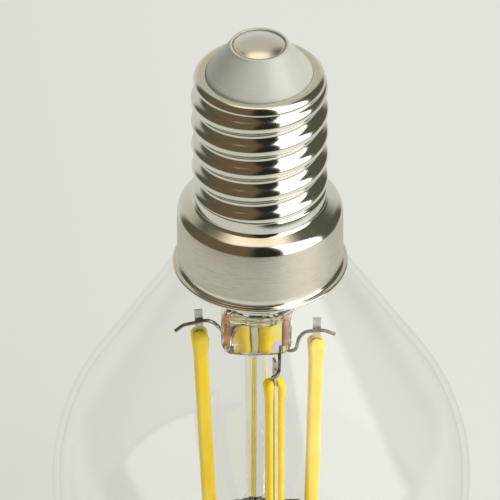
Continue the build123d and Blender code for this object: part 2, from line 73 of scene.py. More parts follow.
class Board:
    # a node tree with one way to add a node
    def __init__(self, tree):
        self.tree = tree

    def node(self, kind, settings=None, sockets=None, out=0):
        made = self.tree.nodes.new(kind)
        for key, value in (settings or {}).items():
            setattr(made, key, value)
        for key, value in (sockets or {}).items():
            self.feed(made, key, value)
        return Signal(self, made.outputs[out])

    def feed(self, made, key, value):
        if isinstance(value, Signal):
            self.tree.links.new(value.socket, made.inputs[key])
        else:
            made.inputs[key].default_value = value

    def rise(self, value, low, high):
        return self.node(
            "ShaderNodeMapRange",
            {"interpolation_type": "SMOOTHSTEP"},
            {"Value": value, "From Min": low, "From Max": high},
        )

    def blend(self, share, first, second):
        return self.node("ShaderNodeMix", {"data_type": "RGBA"}, {0: share, 6: first, 7: second}, 2)

    def place(self):
        return self.node("ShaderNodeTexCoord", out="Object")

    def axes(self, vector):
        split = self.tree.nodes.new("ShaderNodeSeparateXYZ")
        self.tree.links.new(vector.socket, split.inputs[0])
        return [Signal(self, out) for out in split.outputs]

    def stretched(self, vector, scale):
        return self.node("ShaderNodeMapping", {}, {"Vector": vector, "Scale": scale})

    def noise(self, vector, scale, detail=3.0, roughness=0.55):
        return self.node(
            "ShaderNodeTexNoise",
            {},
            {"Vector": vector, "Scale": scale, "Detail": detail, "Roughness": roughness},
        )


def newFinish(name, settings):
    finish = bpy.data.materials.new(name)
    finish.use_nodes = True
    shader = finish.node_tree.nodes["Principled BSDF"]
    for socket, value in settings.items():
        shader.inputs[socket].default_value = value
    return finish, Board(finish.node_tree), shader


def dent(board, shader, height, depth, strength=1.0):
    # a bump whose depth is in metres
    board.feed(
        shader,
        "Normal",
        board.node("ShaderNodeBump", {}, {"Strength": strength, "Distance": depth, "Height": height}),
    )


platedLook = {
    "bright": (0.80, 0.78, 0.71, 1),
    "warm": (0.76, 0.69, 0.58, 1),
    "skirt": (0.73, 0.70, 0.605, 1),
    "scored": (0.44, 0.41, 0.33, 1),
    "skirtTop": -20.9,
    "skirtFoot": -26.9,
    "threadRoughness": 0.10,
    "skirtRoughness": 0.36,
}


def platedFinish(look):
    finish, board, shader = newFinish("platedSheet", {"Metallic": 1.0})
    place = board.place()
    x, y, z = board.axes(place)
    drum = board.rise(z, look["skirtFoot"] * mm, (look["skirtFoot"] + 0.3) * mm)
    drum = drum * (1 - board.rise(z, (look["skirtTop"] - 0.4) * mm, look["skirtTop"] * mm))
    clouds = board.noise(place, 320.0, 4.0)
    brushed = board.noise(board.stretched(place, (600.0, 600.0, 9000.0)), 1.0, 3.0)
    specks = board.noise(place, 2600.0, 2.0)
    stains = board.rise(board.noise(place, 150.0, 2.0), 0.56, 0.72)
    tone = stains * 0.6 + clouds * 0.2 + board.rise(brushed, 0.5, 0.72) * drum * 0.55
    plating = board.blend(drum, look["bright"], look["skirt"])
    plating = board.blend(board.rise(brushed, 0.54, 0.68) * drum * 0.7, plating, look["scored"])
    board.feed(shader, "Base Color", board.blend(tone, plating, look["warm"]))
    satin = drum * (look["skirtRoughness"] - look["threadRoughness"]) + look["threadRoughness"]
    board.feed(shader, "Roughness", satin + clouds * 0.05 + (brushed - 0.5) * drum * 0.16)
    ripple = brushed * drum * 5.0 + board.rise(specks, 0.62, 0.8) * 0.25 + clouds * 0.5
    dent(board, shader, ripple, 0.00001, 0.55)
    return finish


contactLook = {
    "plating": (0.80, 0.79, 0.77, 1),
    "paintedReflection": (0.83, 0.77, 0.69, 1),
    "roughness": 0.12,
}


def contactFinish(look):
    finish, board, shader = newFinish("platedContact", {"Metallic": 1.0})
    place = board.place()
    x, y, z = board.axes(place)
    # painted reflection: a warm peach patch painted on the front of the dome, the side towards the camera,
    # in place of a reflection
    paintedReflection = board.rise(board.noise(place, 420.0, 2.0) * 0.0014 - y, 0.0009, 0.0019)
    board.feed(shader, "Base Color", board.blend(paintedReflection * 0.75, look["plating"], look["paintedReflection"]))
    haze = board.noise(place, 900.0, 4.0)
    board.feed(shader, "Roughness", haze * 0.14 + look["roughness"])
    scores = board.noise(board.stretched(place, (600.0, 4200.0, 600.0)), 1.0, 2.0)
    dent(board, shader, haze + scores * 0.4, 0.000008, 0.4)
    return finish


insulatorLook = {
    "milk": (0.42, 0.425, 0.37, 1),
    "shade": (0.37, 0.365, 0.31, 1),
    "roughness": 0.30,
}


def insulatorFinish(look):
    settings = {"Coat Roughness": 0.2, "Coat Weight": 0.25}
    settings.update({"Subsurface Weight": 0.15, "Subsurface Scale": 0.0006})
    finish, board, shader = newFinish("milkyInsulator", settings)
    place = board.place()
    clouds = board.noise(place, 260.0, 4.0)
    dull = board.rise(clouds, 0.42, 0.7) * 0.5
    board.feed(shader, "Base Color", board.blend(dull, look["milk"], look["shade"]))
    board.feed(shader, "Roughness", clouds * 0.12 + look["roughness"])
    pits = board.rise(board.noise(place, 1900.0, 2.0), 0.66, 0.8)
    dent(board, shader, clouds * 0.8 - pits * 0.3, 0.00002, 0.35)
    return finish


def metalFinish(name, colour, dark, roughness, grain):
    finish, board, shader = newFinish(name, {"Metallic": 1.0})
    place = board.place()
    clouds = board.noise(place, grain, 3.0)
    board.feed(shader, "Base Color", board.blend(board.rise(clouds, 0.4, 0.65), colour, dark))
    board.feed(shader, "Roughness", clouds * 0.2 + roughness)
    dent(board, shader, board.noise(place, grain * 3, 2.0), 0.000008, 0.4)
    return finish


def mattFinish(name, colour, dark, roughness, grain, depth):
    finish, board, shader = newFinish(name, {})
    place = board.place()
    clouds = board.noise(place, grain, 4.0)
    board.feed(shader, "Base Color", board.blend(board.rise(clouds, 0.35, 0.65), colour, dark))
    board.feed(shader, "Roughness", clouds * 0.2 + roughness)
    dent(board, shader, clouds, depth, 0.5)
    return finish


phosphorLook = {
    "deep": (0.99, 0.665, 0.008, 1),
    "pale": (1.0, 0.74, 0.045, 1),
    "roughness": 0.34,
}


def phosphorFinish(look):
    finish, board, shader = newFinish("phosphorCoat", {"Coat Weight": 0.3, "Coat Roughness": 0.15})
    place = board.place()
    clouds = board.noise(board.stretched(place, (700.0, 700.0, 220.0)), 1.0, 3.0)
    board.feed(shader, "Base Color", board.blend(board.rise(clouds, 0.4, 0.65), look["deep"], look["pale"]))
    board.feed(shader, "Roughness", clouds * 0.15 + look["roughness"])
    dent(board, shader, clouds, 0.00003, 0.4)
    return finish


clearLook = {
    "headOn": 0.028,
    "tint": (0.997, 0.998, 0.995, 1),
    "rim": (0.94, 0.945, 0.93, 1),
    "rimStart": 0.82,
    "rimEnd": 0.97,
}


def clearFinish(name, look):
    # a thin wall: what is behind it shows straight through, and the gloss grows towards its edges
    finish = bpy.data.materials.new(name)
    finish.use_nodes = True
    board = Board(finish.node_tree)
    finish.node_tree.nodes.remove(finish.node_tree.nodes["Principled BSDF"])
    facing = board.node("ShaderNodeLayerWeight", {}, {"Blend": 0.5}, 1)
    edge = board.rise(facing, look["rimStart"], look["rimEnd"])
    tint = board.blend(edge, look["tint"], look["rim"])
    through = board.node("ShaderNodeBsdfTransparent", {}, {"Color": tint})
    gloss = board.node("ShaderNodeBsdfAnisotropic", {}, {"Color": (1, 1, 1, 1), "Roughness": 0.01})
    share = (facing ** 5.0) * (1 - look["headOn"]) + look["headOn"]
    skin = board.node("ShaderNodeMixShader", {}, {0: share, 1: through, 2: gloss})
    board.feed(finish.node_tree.nodes["Material Output"], "Surface", skin)
    return finish


def solidGlassFinish(name, look):
    # thick glass bends what is behind it; lamp rays pass, so that it throws no dark shadow
    finish = bpy.data.materials.new(name)
    finish.use_nodes = True
    board = Board(finish.node_tree)
    shader = finish.node_tree.nodes["Principled BSDF"]
    settings = {"Base Color": look["tint"], "Roughness": 0.0, "Transmission Weight": 1.0}
    settings["IOR"] = look["bending"]
    for socket, value in settings.items():
        shader.inputs[socket].default_value = value
    shadowRay = board.node("ShaderNodeLightPath", out=1)
    through = board.node("ShaderNodeBsdfTransparent", {}, {"Color": look["shadow"]})
    glass = Signal(board, shader.outputs[0])
    skin = board.node("ShaderNodeMixShader", {}, {0: shadowRay, 1: glass, 2: through})
    board.feed(finish.node_tree.nodes["Material Output"], "Surface", skin)
    return finish


stemLook = {
    "tint": (0.95, 0.97, 0.94, 1),
    "shadow": (0.9, 0.91, 0.89, 1),
    "bending": 1.5,
}
# name, colour, second colour, roughness, grain
metalLooks = {
    "eyelet": ("eyeletBrass", (0.55, 0.42, 0.22, 1), (0.34, 0.27, 0.14, 1), 0.3, 900.0),
    "copper": ("copperLead", (0.78, 0.42, 0.28, 1), (0.55, 0.27, 0.17, 1), 0.25, 1200.0),
    "nickel": ("nickelWire", (0.36, 0.32, 0.27, 1), (0.16, 0.12, 0.09, 1), 0.3, 900.0),
    "tab": ("tabPlate", (0.74, 0.73, 0.70, 1), (0.58, 0.55, 0.48, 1), 0.3, 900.0),
    "tinned": ("tinnedWire", (0.70, 0.70, 0.68, 1), (0.55, 0.55, 0.53, 1), 0.3, 900.0),
}
# the same, then the depth of the grain in metres
mattLooks = {
    "cement": ("cappingCement", (0.62, 0.57, 0.47, 1), (0.50, 0.45, 0.36, 1), 0.8, 700.0, 0.00005),
    "strip": ("clearStrip", (0.74, 0.66, 0.36, 1), (0.80, 0.74, 0.48, 1), 0.2, 900.0, 0.00001),
    "board": ("boardMask", (0.05, 0.16, 0.07, 1), (0.03, 0.11, 0.05, 1), 0.4, 600.0, 0.00001),
    "chip": ("chipMoulding", (0.02, 0.02, 0.02, 1), (0.035, 0.035, 0.035, 1), 0.5, 1500.0, 0.00001),
    "sleeve": ("capacitorSleeve", (0.03, 0.035, 0.05, 1), (0.05, 0.05, 0.07, 1), 0.3, 500.0, 0.00001),
    "enamel": ("resistorEnamel", (0.10, 0.20, 0.14, 1), (0.14, 0.26, 0.19, 1), 0.4, 800.0, 0.00002),
}
finishes = {
    "plated": platedFinish(platedLook),
    "contact": contactFinish(contactLook),
    "insulator": insulatorFinish(insulatorLook),
    "envelope": clearFinish("clearWall", clearLook),
    "stem": solidGlassFinish("stemGlass", stemLook),
    "phosphor": phosphorFinish(phosphorLook),
}
finishes.update({key: metalFinish(*look) for key, look in metalLooks.items()})
finishes.update({key: mattFinish(*look) for key, look in mattLooks.items()})
print("finishes made:", len(finishes))


def addPiece(name, mesh, finish, slot, *nodes):
    # a finished piece in place of the CAD nodes named
    if finish:
        mesh.materials.clear()
        mesh.materials.append(finishes[finish])
    piece = bpy.data.objects.new(name, mesh)
    scene.collection.objects.link(piece)
    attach(piece, "root")
    if nodes:
        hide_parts(*nodes)
    return piece


def meshFrom(name, points, faces, sharpAt=40):
    mesh = bpy.data.meshes.new(name)
    mesh.from_pydata([Vector(point) * mm for point in points], [], faces)
    mesh.validate()
    mesh.shade_smooth()
    mesh.set_sharp_from_angle(angle=math.radians(sharpAt))
    return mesh


def arc(centre, radius, start, end, steps):
    # points along part of a circle, both ends with them, angles in degrees
    turns = [math.radians(start + (end - start) * step / steps) for step in range(steps + 1)]
    return [(centre[0] + radius * math.cos(turn), centre[1] + radius * math.sin(turn)) for turn in turns]


def latheMesh(name, outline, around, centre=(0, 0), sharpAt=40):
    # the outline is a loop, or runs from axis to axis, clockwise seen with the axis on its left
    points = []
    rows = []
    for radius, height in outline:
        if radius < 1e-6:
            rows.append([len(points)])
            points.append((centre[0], centre[1], height))
            continue
        rows.append(list(range(len(points), len(points) + around)))
        for turn in range(around):
            angle = 2 * math.pi * turn / around
            across, back = radius * math.cos(angle), radius * math.sin(angle)
            points.append((centre[0] + across, centre[1] + back, height))
    closed = len(rows[0]) > 1 and len(rows[-1]) > 1
    pairs = list(zip(rows, rows[1:])) + ([(rows[-1], rows[0])] if closed else [])
    faces = []
    for upper, lower in pairs:
        for turn in range(around):
            following = (turn + 1) % around
            if len(upper) == 1 and len(lower) > 1:
                faces.append((upper[0], lower[turn], lower[following]))
            elif len(lower) == 1 and len(upper) > 1:
                faces.append((upper[turn], lower[0], upper[following]))
            elif len(upper) > 1:
                faces.append((upper[turn], lower[turn], lower[following], upper[following]))
    return meshFrom(name, points, faces, sharpAt)


def nodeTree(name, inputs):
    tree = bpy.data.node_groups.new(name, "GeometryNodeTree")
    tree.interface.new_socket("Geometry", in_out="INPUT", socket_type="NodeSocketGeometry")
    for label, value in inputs.items():
        kind = "NodeSocketInt" if isinstance(value, int) else "NodeSocketFloat"
        socket = tree.interface.new_socket(label, in_out="INPUT", socket_type=kind)
        socket.default_value = value
    tree.interface.new_socket("Geometry", in_out="OUTPUT", socket_type="NodeSocketGeometry")
    entry = tree.nodes.new("NodeGroupInput")
    board = Board(tree)
    return tree, board, {out.name: Signal(board, out) for out in entry.outputs if out.name}


def endTree(board, geometry, finish):
    realised = board.node("GeometryNodeRealizeInstances", {}, {0: geometry})
    dressed = board.node("GeometryNodeSetMaterial", {}, {"Geometry": realised, "Material": finish})
    leave = board.tree.nodes.new("NodeGroupOutput")
    board.feed(leave, 0, dressed)


def grown(name, base, tree, sizes):
    # the base mesh with the tree run on it, as a plain mesh
    holder = bpy.data.objects.new(name + "Base", base)
    scene.collection.objects.link(holder)
    modifier = holder.modifiers.new("grow", "NODES")
    modifier.node_group = tree
    for item in tree.interface.items_tree:
        if item.in_out == "INPUT" and item.name in sizes:
            modifier[item.identifier] = sizes[item.name]
    bpy.context.view_layer.update()
    done = holder.evaluated_get(bpy.context.evaluated_depsgraph_get())
    mesh = bpy.data.meshes.new_from_object(done)
    mesh.name = name
    bpy.data.objects.remove(holder)
    return mesh


# Cap shell: turned from its outline, then the thread is rolled into the middle stretch

shellSizes = {
    "rimTop": -4.05,
    "rimRadius": 6.72,
    "rimRound": 0.77,
    "openingRadius": 5.46,
    "openingEdge": 0.06,
    "boreRadius": 5.86,
    "rootRadius": 6.0,
    "neckRadius": 6.88,
    "threadTop": -4.9,
    "threadFoot": -18.3,
    "runOut": 0.6,
    "rowStep": 0.09,
    "shoulderFoot": -19.35,
    "shoulderRound": 0.45,
    "shoulderSlope": 63,
    "shoulderEdge": (7.32, -20.02),
    "skirtRadius": 8.64,
    "skirtRound": 1.29,
    "lipTop": -27.28,
    "lipRoot": 0.19,
    "lipShoulder": 0.15,
    "lipEdge": 0.12,
    "lipRadius": 9.14,
    "foot": -27.65,
    "lipFoot": -27.84,
    "sheet": 0.25,
    "around": 192,
}
threadSizes = {
    "Pitch": 2.822,
    "Crest Radius": 7.03,
    "Depth": 0.85,
    "First Crest": -8.53,
    "Top Fade": -6.2,
    "Foot Fade": -17.9,
    "Softness": 0.12,
}


def shellOutline(size):
    # the outside from the opening down to the lip, then the inside back up
    opening, rim, rounding = size["openingRadius"], size["rimRadius"], size["rimRound"]
    edge, top, root = size["openingEdge"], size["threadTop"], size["rootRadius"]
    neck, foot, run = size["neckRadius"], size["threadFoot"], size["runOut"]
    outline = [(opening, size["rimTop"] - size["sheet"]), (opening, size["rimTop"] - edge)]
    outline += [(opening + edge, size["rimTop"])]
    outline += arc((rim - rounding, size["rimTop"] - rounding), rounding, 90, 0, 9)
    outline += [(rim, top - 0.02), (rim - 0.15, top - 0.1), (root, top - 0.42)]
    height = outline[-1][1] - size["rowStep"]
    while height > foot + run + size["rowStep"]:
        outline.append((root, height))
        height -= size["rowStep"]
    for step in range(9):
        share = (1 - math.cos(math.pi * step / 8)) / 2
        outline.append((root + (neck - root) * share, foot + run * (1 - step / 8)))
    outline.append((neck, size["shoulderFoot"]))

    fillet, slope = size["shoulderRound"], size["shoulderSlope"]
    outline += arc((neck + fillet, size["shoulderFoot"]), fillet, 180, 180 + slope, 8)[1:]
    edgeX, edgeZ = size["shoulderEdge"]
    skirtStart = edgeZ - size["skirtRound"]
    outline += arc((edgeX, skirtStart), size["skirtRound"], slope, 8, 12)

    skirt, lip, lipTop = size["skirtRadius"], size["lipRadius"], size["lipTop"]
    lipRoot, lipShoulder, lipEdge = size["lipRoot"], size["lipShoulder"], size["lipEdge"]
    outline += [(skirt, skirtStart - 1.5), (skirt, lipTop + 0.5), (skirt, lipTop + 0.06)]
    outline += arc((skirt + lipRoot, lipTop), lipRoot, 180, 258, 6)
    outline += arc((lip - lipShoulder, lipTop - 0.37), lipShoulder, 78, 0, 5)
    outline += arc((lip - lipEdge, size["lipFoot"] + lipEdge), lipEdge, 0, -90, 4)

    inner, bore = skirt - size["sheet"], size["boreRadius"]
    outline += [(lip - 0.2, size["lipFoot"]), (inner, lipTop - 0.1), (inner, skirtStart)]
    outline += [(edgeX, edgeZ - size["sheet"])]
    outline += [(neck - size["sheet"], size["shoulderFoot"] - 0.2), (neck - size["sheet"], foot - 0.1)]
    outline += [(bore, foot + run - 0.1), (bore, size["rimTop"] - 1.6)]
    return outline


def threadTree(sizes):
    # rolls a round crest and a round root, joined a quarter pitch away, into the rows marked threaded
    tree, board, given = nodeTree("rolledThread", sizes)
    place = board.node("GeometryNodeInputPosition")
    x, y, z = board.axes(place)
    radius = (x * x + y * y).math("SQRT") / mm
    height = z / mm
    threaded = board.node("GeometryNodeInputNamedAttribute", {"data_type": "FLOAT"}, {"Name": "threaded"})
    pitch, crest, depth, soft = given["Pitch"], given["Crest Radius"], given["Depth"], given["Softness"]
    turns = (height - given["First Crest"]) / pitch - y.math("ARCTAN2", x) / (2 * math.pi)
    away = (turns - turns.math("ROUND")).math("ABSOLUTE") * pitch
    bend = (pitch * pitch / 4 + depth * depth) / (depth * 4)
    crestFace = crest - bend + (bend * bend - away * away).math("MAXIMUM", 0.0).math("SQRT")
    gap = pitch / 2 - away
    rootFace = crest - depth + bend - (bend * bend - gap * gap).math("MAXIMUM", 0.0).math("SQRT")
    wave = crestFace + (rootFace - crestFace) * away.math("GREATER_THAN", pitch / 4)
    fadeTop = crest + 0.02 - (height - given["Top Fade"]).math("MAXIMUM", 0.0) * 0.2
    fadeFoot = crest + 0.02 - (given["Foot Fade"] - height).math("MAXIMUM", 0.0) * 0.6
    rolled = wave.math("SMOOTH_MIN", fadeTop, soft).math("SMOOTH_MIN", fadeFoot, soft)
    rolled = rolled.math("SMOOTH_MAX", radius, soft)
    share = (rolled - radius) * threaded / radius + 1.0
    moved = board.node("ShaderNodeCombineXYZ", {}, {0: x * share, 1: y * share, 2: z})
    bent = board.node("GeometryNodeSetPosition", {}, {"Geometry": given["Geometry"], "Position": moved})
    endTree(board, bent, finishes["plated"])
    return tree


outline = shellOutline(shellSizes)
shellBase = latheMesh("capShellBase", outline, shellSizes["around"], sharpAt=50)
threaded = shellBase.attributes.new("threaded", "FLOAT", "POINT")
top, foot = shellSizes["threadTop"], shellSizes["threadFoot"]
insideLimit = (shellSizes["boreRadius"] + shellSizes["rootRadius"]) / 2
for vertex in shellBase.vertices:
    height = vertex.co.z / mm
    outside = math.hypot(vertex.co.x, vertex.co.y) / mm > insideLimit
    threaded.data[vertex.index].value = 1.0 if outside and foot - 0.01 < height < top else 0.0
capShell = grown("capShell", shellBase, threadTree(threadSizes), threadSizes)
addPiece("capShell", capShell, None, "cap_metal", "cap_shell")
print("cap shell rolled,", len(capShell.polygons), "faces")

# Insulator and contact

insulatorSizes = {
    "top": -0.58,
    "bore": 2.76,
    "collar": 3.06,
    "middle": (3.86, -1.86),
    "footRadius": 5.1,
    "footTop": -3.45,
    "seatRadius": 5.44,
    "seatTop": -3.95,
    "seatFoot": -4.32,
    "flange": 0.4,
    "bottom": -5.9,
    "edge": 0.12,
}


def throughThree(first, middle, last, steps):
    # points on the circle through three points
    ax, ay = first
    bx, by = middle
    cx, cy = last
    twice = 2 * (ax * (by - cy) + bx * (cy - ay) + cx * (ay - by))
    aa, bb, cc = ax * ax + ay * ay, bx * bx + by * by, cx * cx + cy * cy
    ux = (aa * (by - cy) + bb * (cy - ay) + cc * (ay - by)) / twice
    uy = (aa * (cx - bx) + bb * (ax - cx) + cc * (bx - ax)) / twice
    start = math.degrees(math.atan2(ay - uy, ax - ux))
    end = math.degrees(math.atan2(cy - uy, cx - ux))
    if end - start > 180:
        end -= 360
    if start - end > 180:
        end += 360
    return arc((ux, uy), math.hypot(ax - ux, ay - uy), start, end, steps)


size = insulatorSizes
top, edge, collar, seat = size["top"], size["edge"], size["collar"], size["seatRadius"]
footX, footZ = size["footRadius"], size["footTop"]
outline = [(size["bore"], size["bottom"]), (size["bore"], top - 0.03), (size["bore"] + 0.03, top)]
outline += arc((collar - edge, top - edge), edge, 90, 10, 4)
outline += throughThree((collar, top - 0.14), size["middle"], (footX, footZ), 20)
outline += [(footX + 0.02, footZ - 0.03), (footX + 0.05, footZ - 0.05)]
outline += [(seat - 0.06, size["seatTop"] + 0.09), (seat, size["seatTop"]), (seat, size["seatFoot"])]
outline += [(seat + size["flange"], size["seatFoot"] - 0.08), (seat + size["flange"], size["bottom"])]
insulator = latheMesh("capInsulator", outline, 128, sharpAt=50)
addPiece("capInsulator", insulator, "insulator", "insulator", "cap_insulator")

contactSizes = {"crown": 0.0, "rim": -0.68, "radius": 2.6, "shank": 0.95, "foot": -6.3, "edge": 0.02}
size = contactSizes
rise = size["crown"] - size["rim"]
under = size["rim"] - size["edge"]
domeRadius = (size["radius"] ** 2 + rise**2) / (2 * rise)
reach = math.degrees(math.asin(size["radius"] / domeRadius))
dome = arc((0, size["crown"] - domeRadius), domeRadius, 90, 90 - reach * 0.985, 16)
outline = [(0, size["crown"])] + dome[1:]
outline += [(size["radius"], size["rim"] + 0.01), (size["radius"] - size["edge"], under)]
outline += [(size["shank"], under), (size["shank"], size["foot"]), (0, size["foot"])]
contact = latheMesh("centreContact", outline, 96, sharpAt=50)
addPiece("centreContact", contact, "contact", "contact_metal", "centre_contact")
print("insulator and contact turned")

# Envelope: globe, straight cone and neck, with an outer and an inner face

globeSizes = {
    "radius": 22.5,
    "centre": -56.7,
    "wall": 0.7,
    "neckRadius": 7.9,
    "neckRound": 2.0,
    "neckTop": -21.5,
    "lipInner": 8.94,
    "lipGap": 0.35,
    "around": 160,
}


def globeLine(size, inset):
    # the cone touches the globe and the neck's round, so its slope follows from the two
    globe, neck, bend = size["radius"] - inset, size["neckRadius"] - inset, size["neckRound"] + inset
    roundPlace = size["neckRadius"] + size["neckRound"]
    reach = roundPlace - size["lipInner"] + size["lipGap"]
    neckFoot = shellSizes["foot"] + math.sqrt(size["neckRound"] ** 2 - reach**2)
    rise = neckFoot - size["centre"]
    lean = math.acos((size["radius"] + size["neckRound"]) / math.hypot(rise, roundPlace))
    slope = math.degrees(math.atan2(rise, roundPlace) - lean)
    line = [(neck, size["neckTop"]), (neck, neckFoot + 0.4)]
    line += arc((neck + bend, neckFoot), bend, 180, 180 + slope, 10)
    line += arc((0, size["centre"]), globe, slope, -90, 64)[:-1]
    return line + [(0, size["centre"] - globe)]


outer = globeLine(globeSizes, 0.0)
inner = globeLine(globeSizes, globeSizes["wall"])
envelope = latheMesh("glassEnvelope", list(reversed(inner)) + outer, globeSizes["around"], sharpAt=60)
addPiece("glassEnvelope", envelope, "envelope", "envelope_glass", "glass_envelope")

# Stem: a tube that flattens into the press; column: a rod with a bead at its foot

stemSizes = {
    "flareRadius": 7.1,
    "flareFoot": -26.0,
    "radius": 4.2,
    "wall": 0.7,
    "tubeEnd": -31.85,
    "pressTop": -35.45,
    "pressFoot": -39.85,
    "pressWidth": 7.5,
    "pressThick": 3.4,
    "pressEdge": 1.4,
    "pressShift": -0.45,
    "around": 96,
}


def stemRing(size, inset, flat, scale, height):
    # a circle that turns into a flat-sided slot as flat goes from 0 to 1
    ring = []
    for turn in range(size["around"]):
        angle = 2 * math.pi * turn / size["around"]
        cosine, sine = math.cos(angle), math.sin(angle)
        reach = (size["radius"] - inset) * scale
        tube = (reach * cosine, reach * sine)
        half = size["pressThick"] / 2 - inset
        straight = size["pressWidth"] / 2 - size["pressThick"] / 2
        side = max(-1.0, min(1.0, cosine * 1.5))
        slot = (straight * side * scale + half * scale * cosine, half * scale * sine)
        x = tube[0] + (slot[0] - tube[0]) * flat + size["pressShift"] * flat
        ring.append((x, tube[1] + (slot[1] - tube[1]) * flat, height))
    return ring


def smooth(share):
    return share * share * (3 - 2 * share)


def stemMesh(size):
    rings = []
    flareCentre, flareRound = (size["flareRadius"], size["flareFoot"]), size["flareRadius"] - size["radius"]
    flare = arc(flareCentre, flareRound, 180, 100, 8)
    for radius, height in reversed(flare):
        rings.append(stemRing(size, 0, 0, radius / size["radius"], height))
    rings.append(stemRing(size, 0, 0, 1, size["tubeEnd"] + 1.5))
    for step in range(17):
        share = step / 16
        height = size["tubeEnd"] + (size["pressTop"] - size["tubeEnd"]) * share
        rings.append(stemRing(size, 0, smooth(share), 1, height))
    edge = size["pressEdge"]
    rings.append(stemRing(size, 0, 1, 1, size["pressFoot"] + edge))
    for step in range(1, 7):
        turn = math.radians(15 * step)
        height = size["pressFoot"] + edge * (1 - math.sin(turn))
        rings.append(stemRing(size, edge * (1 - math.cos(turn)), 1, 1, height))
    outerCount = len(rings)
    inset = size["wall"]
    rings.append(stemRing(size, inset, 1, 0.35, size["pressTop"] + 0.6))
    for step in range(13):
        share = 1 - step / 12
        height = size["tubeEnd"] + (size["pressTop"] + 0.9 - size["tubeEnd"]) * share
        rings.append(stemRing(size, inset, smooth(share) * 0.96, 1, height))
    rings.append(stemRing(size, inset, 0, 1, size["flareFoot"]))
    inside = arc(flareCentre, flareRound + inset, 180, 100, 8)
    for radius, height in inside:
        rings.append(stemRing(size, inset, 0, radius / (size["radius"] - inset), height))
    around = size["around"]
    points = [point for ring in rings for point in ring]
    faces = []
    for row in range(len(rings)):
        if row == outerCount - 1:
            continue
        upper, lower = row * around, (row + 1) % len(rings) * around
        for turn in range(around):
            following = (turn + 1) % around
            faces.append((upper + turn, lower + turn, lower + following, upper + following))
    for row, outside in ((outerCount - 1, True), (outerCount, False)):
        middle = len(points)
        ring = rings[row]
        points.append((sum(p[0] for p in ring) / around, sum(p[1] for p in ring) / around, ring[0][2]))
        for turn in range(around):
            first, second = row * around + turn, row * around + (turn + 1) % around
            faces.append((second, first, middle) if outside else (first, second, middle))
    return meshFrom("glassStem", points, faces, 50)


addPiece("glassStem", stemMesh(stemSizes), "stem", "stem_glass", "stem")

columnSizes = {
    "top": -39.87,
    "radius": 1.05,
    "foot": -62.25,
    "bead": 1.6,
    "beadHeight": 2.8,
    "shift": -0.65,
}
size = columnSizes
beadTop, beadMiddle = size["foot"] + size["beadHeight"], size["foot"] + size["beadHeight"] / 2
outline = [(0, size["top"]), (size["radius"], size["top"]), (size["radius"], beadTop + 0.5)]
for step in range(11):
    angle = math.radians(62 - 15.2 * step)
    outline.append((size["bead"] * math.cos(angle), beadMiddle + size["beadHeight"] / 2 * math.sin(angle)))
outline += [(0, size["foot"])]
column = latheMesh("glassColumn", outline, 64, (size["shift"], 0), 60)
addPiece("glassColumn", column, "stem", "stem_glass", "support_column")
print("glass made")

# Filaments: a clear strip, which stays a CAD node, between two beads that the tree sweeps along a line

filamentSizes = {
    "Length": 27.0,
    "Half Width": 0.71,
    "Depth": 0.74,
    "Bulge": 1.25,
    "Bulge Length": 3.6,
    "Strip Thickness": 0.4,
    "Corner": 0.34,
}
# top and foot: distance from the axis and angle round it; drop: from the cap's foot to the coat's top
filamentPlaces = {
    "left": {"top": (6.5, 188.0), "foot": (5.6, 190.0), "drop": 8.55},
    "front": {"top": (6.17, 283.5), "foot": (5.3, 285.5), "drop": 11.25},
    "right": {"top": (5.92, 4.8), "foot": (5.35, 5.5), "drop": 10.8},
    "rear": {"top": (6.2, 96.0), "foot": (5.3, 88.5), "drop": 9.55},
}


